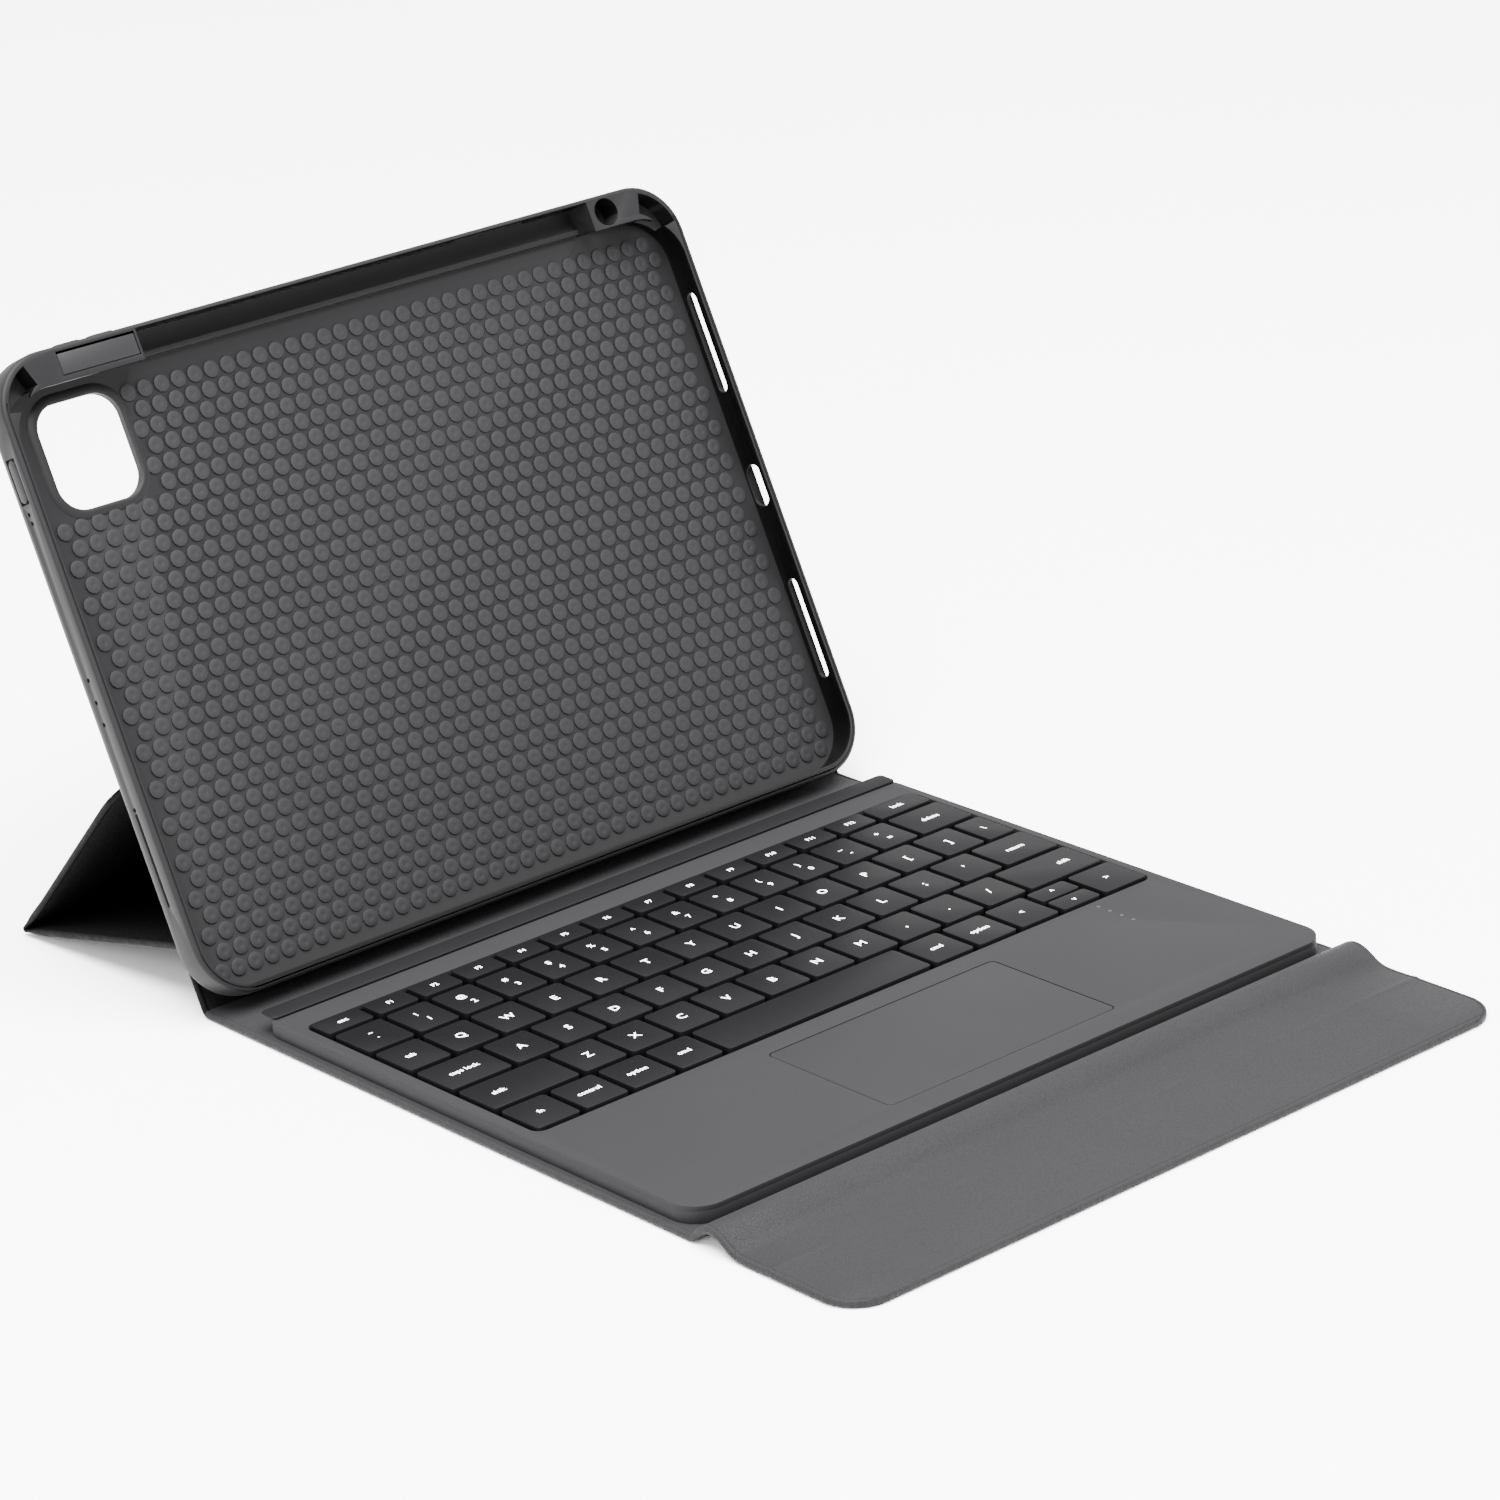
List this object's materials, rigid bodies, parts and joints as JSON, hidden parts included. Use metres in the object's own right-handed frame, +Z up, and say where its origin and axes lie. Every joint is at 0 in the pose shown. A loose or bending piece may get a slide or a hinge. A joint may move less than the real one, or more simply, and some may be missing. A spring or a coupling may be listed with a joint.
{
  "type": "tablet keyboard case",
  "caption": "Folding keyboard case for a tablet: slanted tray on a folding stand, hinged keyboard deck with trackpad, and a front flap that wraps round the tray.",
  "frame": {"origin": "middle of the open case's footprint, on the table", "axes": "+X to the typist's right, +Y away from the typist towards the stand, +Z up"},
  "size_m": [0.251, 0.3618, 0.1801],
  "materials": {
    "graphite_leather": "soft-touch lining with a fine pebble grain, satin",
    "black_leather": "fine pebbled leather, semi-matt",
    "graphite_tpu": "soft rubbery shell, matt with a slight sheen",
    "key_plastic": "moulded key caps with plain pale legends",
    "deck_plastic": "soft-touch coated deck, satin",
    "case_plastic": "moulded case, matt",
    "board": "pressed grey board",
    "steel": "plain sheet steel",
    "circuit": "green circuit board",
    "dome_rubber": "black silicone",
    "link_plastic": "natural moulded plastic",
    "film": "printed plastic film",
    "cell": "foil pouch",
    "lens": "clear indicator lens, unlit"
  },
  "bodies": {
    "base": {"base_skin": "graphite_leather", "base_board": "board", "module_case": "case_plastic", "module_deck": "deck_plastic", "rear_ridge": "deck_plastic", "key_plate": "steel", "membrane": "film", "rubber_domes": "dome_rubber", "scissor_links": "link_plastic", "main_board": "circuit", "battery": "cell", "pad_switch": "steel", "indicator_lenses": "lens", "charging_port": "steel", "case_screws": "steel"},
    "tray": {"tray_shell": "graphite_tpu", "tray_magnets": "steel", "volume_block": "graphite_tpu", "heel_skin": "black_leather"},
    "volume_up": {"volume_up_cover": "graphite_tpu"},
    "volume_down": {"volume_down_cover": "graphite_tpu"},
    "power_button": {"power_cover": "graphite_tpu"},
    "spine": {"spine_skin": "graphite_leather"},
    "lower_back": {"lower_back_skin": "black_leather", "lower_back_board": "board"},
    "upper_back": {"upper_back_skin": "black_leather", "upper_back_board": "board", "stand_magnets": "steel"},
    "strip": {"strip_skin": "graphite_leather"},
    "flap": {"flap_skin": "graphite_leather", "flap_board": "board", "flap_magnets": "steel"},
    "trackpad": {"pad_surface": "deck_plastic", "pad_board": "circuit"},
    "switch": {"power_switch": "key_plastic"},
    "escape_key": {"escape_key": "key_plastic"},
    "function_keys": {"function_keys": "key_plastic"},
    "lock_key": {"lock_key": "key_plastic"},
    "number_keys": {"number_keys": "key_plastic"},
    "backspace_key": {"backspace_key": "key_plastic"},
    "tab_key": {"tab_key": "key_plastic"},
    "top_letter_keys": {"top_letter_keys": "key_plastic"},
    "backslash_key": {"backslash_key": "key_plastic"},
    "caps_lock_key": {"caps_lock_key": "key_plastic"},
    "home_letter_keys": {"home_letter_keys": "key_plastic"},
    "return_key": {"return_key": "key_plastic"},
    "left_shift_key": {"left_shift_key": "key_plastic"},
    "bottom_letter_keys": {"bottom_letter_keys": "key_plastic"},
    "right_shift_key": {"right_shift_key": "key_plastic"},
    "globe_key": {"globe_key": "key_plastic"},
    "control_key": {"control_key": "key_plastic"},
    "left_option_key": {"left_option_key": "key_plastic"},
    "left_command_key": {"left_command_key": "key_plastic"},
    "space_bar": {"space_bar": "key_plastic"},
    "right_command_key": {"right_command_key": "key_plastic"},
    "right_option_key": {"right_option_key": "key_plastic"},
    "left_arrow_key": {"left_arrow_key": "key_plastic"},
    "up_arrow_key": {"up_arrow_key": "key_plastic"},
    "down_arrow_key": {"down_arrow_key": "key_plastic"},
    "right_arrow_key": {"right_arrow_key": "key_plastic"}
  },
  "joints": [
    {"name": "case_fold", "type": "hinge", "parent": "base", "child": "tray", "pos_m": [0, 0.07254, 0.00494], "axis": [1, 0, 0], "range_deg": [0, 115.5]},
    {"name": "spine_fold", "type": "hinge", "parent": "base", "child": "spine", "pos_m": [0, 0.0687, 0.0011], "axis": [1, 0, 0], "range_deg": [0, 90]},
    {"name": "lower_back_fold", "type": "hinge", "parent": "tray", "child": "lower_back", "pos_m": [0, 0.09833, 0.0196], "axis": [1, 0, 0], "range_deg": [0, 77.16]},
    {"name": "upper_back_fold", "type": "hinge", "parent": "lower_back", "child": "upper_back", "pos_m": [0, 0.1798, 0.0013], "axis": [1, 0, 0], "range_deg": [-146.26, 0]},
    {"name": "flap_inner_fold", "type": "hinge", "parent": "base", "child": "strip", "pos_m": [0, -0.1258, 0.0011], "axis": [-1, 0, 0], "range_deg": [0, 90]},
    {"name": "flap_outer_fold", "type": "hinge", "parent": "strip", "child": "flap", "pos_m": [0, -0.1492, 0.0011], "axis": [-1, 0, 0], "range_deg": [0, 90]},
    {"name": "trackpad_click", "type": "slide", "parent": "base", "child": "trackpad", "axis": [0, 0, -1], "range_m": [0, 0.00035], "stiffness_N_per_m": 4000, "springref_m": -0.00005},
    {"name": "power_switch_slide", "type": "slide", "parent": "base", "child": "switch", "axis": [0, 1, 0], "range_m": [0, 0.0025]},
    {"name": "volume_up_press", "type": "slide", "parent": "tray", "child": "volume_up", "axis": [0, -0.4305, -0.9026], "range_m": [0, 0.0004], "stiffness_N_per_m": 1500, "springref_m": -0.0001},
    {"name": "volume_down_press", "type": "slide", "parent": "tray", "child": "volume_down", "axis": [0, -0.4305, -0.9026], "range_m": [0, 0.0004], "stiffness_N_per_m": 1500, "springref_m": -0.0001},
    {"name": "power_button_press", "type": "slide", "parent": "tray", "child": "power_button", "axis": [1, 0, 0], "range_m": [0, 0.0004], "stiffness_N_per_m": 1500, "springref_m": -0.0001},
    {"name": "escape_key_press", "type": "slide", "parent": "base", "child": "escape_key", "axis": [0, 0, -1], "range_m": [0, 0.0014], "stiffness_N_per_m": 300, "springref_m": -0.0002},
    {"name": "function_keys_press", "type": "slide", "parent": "base", "child": "function_keys", "axis": [0, 0, -1], "range_m": [0, 0.0014], "stiffness_N_per_m": 300, "springref_m": -0.0002},
    {"name": "lock_key_press", "type": "slide", "parent": "base", "child": "lock_key", "axis": [0, 0, -1], "range_m": [0, 0.0014], "stiffness_N_per_m": 300, "springref_m": -0.0002},
    {"name": "number_keys_press", "type": "slide", "parent": "base", "child": "number_keys", "axis": [0, 0, -1], "range_m": [0, 0.0014], "stiffness_N_per_m": 300, "springref_m": -0.0002},
    {"name": "backspace_key_press", "type": "slide", "parent": "base", "child": "backspace_key", "axis": [0, 0, -1], "range_m": [0, 0.0014], "stiffness_N_per_m": 300, "springref_m": -0.0002},
    {"name": "tab_key_press", "type": "slide", "parent": "base", "child": "tab_key", "axis": [0, 0, -1], "range_m": [0, 0.0014], "stiffness_N_per_m": 300, "springref_m": -0.0002},
    {"name": "top_letter_keys_press", "type": "slide", "parent": "base", "child": "top_letter_keys", "axis": [0, 0, -1], "range_m": [0, 0.0014], "stiffness_N_per_m": 300, "springref_m": -0.0002},
    {"name": "backslash_key_press", "type": "slide", "parent": "base", "child": "backslash_key", "axis": [0, 0, -1], "range_m": [0, 0.0014], "stiffness_N_per_m": 300, "springref_m": -0.0002},
    {"name": "caps_lock_key_press", "type": "slide", "parent": "base", "child": "caps_lock_key", "axis": [0, 0, -1], "range_m": [0, 0.0014], "stiffness_N_per_m": 300, "springref_m": -0.0002},
    {"name": "home_letter_keys_press", "type": "slide", "parent": "base", "child": "home_letter_keys", "axis": [0, 0, -1], "range_m": [0, 0.0014], "stiffness_N_per_m": 300, "springref_m": -0.0002},
    {"name": "return_key_press", "type": "slide", "parent": "base", "child": "return_key", "axis": [0, 0, -1], "range_m": [0, 0.0014], "stiffness_N_per_m": 300, "springref_m": -0.0002},
    {"name": "left_shift_key_press", "type": "slide", "parent": "base", "child": "left_shift_key", "axis": [0, 0, -1], "range_m": [0, 0.0014], "stiffness_N_per_m": 300, "springref_m": -0.0002},
    {"name": "bottom_letter_keys_press", "type": "slide", "parent": "base", "child": "bottom_letter_keys", "axis": [0, 0, -1], "range_m": [0, 0.0014], "stiffness_N_per_m": 300, "springref_m": -0.0002},
    {"name": "right_shift_key_press", "type": "slide", "parent": "base", "child": "right_shift_key", "axis": [0, 0, -1], "range_m": [0, 0.0014], "stiffness_N_per_m": 300, "springref_m": -0.0002},
    {"name": "globe_key_press", "type": "slide", "parent": "base", "child": "globe_key", "axis": [0, 0, -1], "range_m": [0, 0.0014], "stiffness_N_per_m": 300, "springref_m": -0.0002},
    {"name": "control_key_press", "type": "slide", "parent": "base", "child": "control_key", "axis": [0, 0, -1], "range_m": [0, 0.0014], "stiffness_N_per_m": 300, "springref_m": -0.0002},
    {"name": "left_option_key_press", "type": "slide", "parent": "base", "child": "left_option_key", "axis": [0, 0, -1], "range_m": [0, 0.0014], "stiffness_N_per_m": 300, "springref_m": -0.0002},
    {"name": "left_command_key_press", "type": "slide", "parent": "base", "child": "left_command_key", "axis": [0, 0, -1], "range_m": [0, 0.0014], "stiffness_N_per_m": 300, "springref_m": -0.0002},
    {"name": "space_bar_press", "type": "slide", "parent": "base", "child": "space_bar", "axis": [0, 0, -1], "range_m": [0, 0.0014], "stiffness_N_per_m": 300, "springref_m": -0.0002},
    {"name": "right_command_key_press", "type": "slide", "parent": "base", "child": "right_command_key", "axis": [0, 0, -1], "range_m": [0, 0.0014], "stiffness_N_per_m": 300, "springref_m": -0.0002},
    {"name": "right_option_key_press", "type": "slide", "parent": "base", "child": "right_option_key", "axis": [0, 0, -1], "range_m": [0, 0.0014], "stiffness_N_per_m": 300, "springref_m": -0.0002},
    {"name": "left_arrow_key_press", "type": "slide", "parent": "base", "child": "left_arrow_key", "axis": [0, 0, -1], "range_m": [0, 0.0014], "stiffness_N_per_m": 300, "springref_m": -0.0002},
    {"name": "up_arrow_key_press", "type": "slide", "parent": "base", "child": "up_arrow_key", "axis": [0, 0, -1], "range_m": [0, 0.0014], "stiffness_N_per_m": 300, "springref_m": -0.0002},
    {"name": "down_arrow_key_press", "type": "slide", "parent": "base", "child": "down_arrow_key", "axis": [0, 0, -1], "range_m": [0, 0.0014], "stiffness_N_per_m": 300, "springref_m": -0.0002},
    {"name": "right_arrow_key_press", "type": "slide", "parent": "base", "child": "right_arrow_key", "axis": [0, 0, -1], "range_m": [0, 0.0014], "stiffness_N_per_m": 300, "springref_m": -0.0002}
  ],
  "couplings": [
    {"joint": "spine_fold", "follows": "case_fold", "ratio": 0.77922},
    {"joint": "lower_back_fold", "follows": "case_fold", "ratio": 0.66807},
    {"joint": "upper_back_fold", "follows": "case_fold", "ratio": -1.2663},
    {"joint": "flap_outer_fold", "follows": "flap_inner_fold", "ratio": 1}
  ]
}
